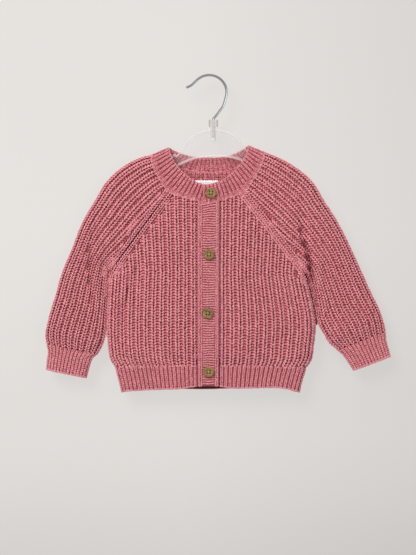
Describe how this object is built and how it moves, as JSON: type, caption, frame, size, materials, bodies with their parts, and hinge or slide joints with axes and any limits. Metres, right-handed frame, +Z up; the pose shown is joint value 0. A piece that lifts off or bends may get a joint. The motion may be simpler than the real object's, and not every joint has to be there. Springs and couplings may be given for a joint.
{
  "type": "baby cardigan on its hanger",
  "caption": "Knitted baby cardigan with raglan sleeves, a round ribbed neck and a buttoned front, hung on a small clear hanger with a wire hook.",
  "frame": {"origin": "inner top of the hook's crook, where a rail carries the hanger", "axes": "+Z up, front of the garment faces -Y, +X to the wearer's left"},
  "size_m": [0.4127, 0.0323, 0.3815],
  "materials": {
    "knit": "chunky half-cardigan rib in slightly marled rose cotton yarn, matt",
    "ribbing": "close one-by-one ribbing in the same rose yarn, matt",
    "button": "mottled olive-brown resin, soft polish",
    "label": "bare white satin tape",
    "clear_plastic": "clear moulded plastic, polished, faintly frosted web",
    "wire": "bright plated steel wire"
  },
  "bodies": {
    "root": {"back_panel": "knit", "front_left_panel": "knit", "front_right_panel": "knit", "sleeve_left": "knit", "sleeve_right": "knit", "cuff_left": "ribbing", "cuff_right": "ribbing", "hem_rib_back": "ribbing", "hem_rib_front_left": "ribbing", "hem_rib_front_right": "ribbing", "neckband": "ribbing", "buttonhole_band": "ribbing", "button_band": "ribbing", "button_1": "button", "button_2": "button", "button_3": "button", "button_4": "button", "neck_label": "label", "hanger_body": "clear_plastic", "hanger_hook": "wire"}
  },
  "joints": []
}
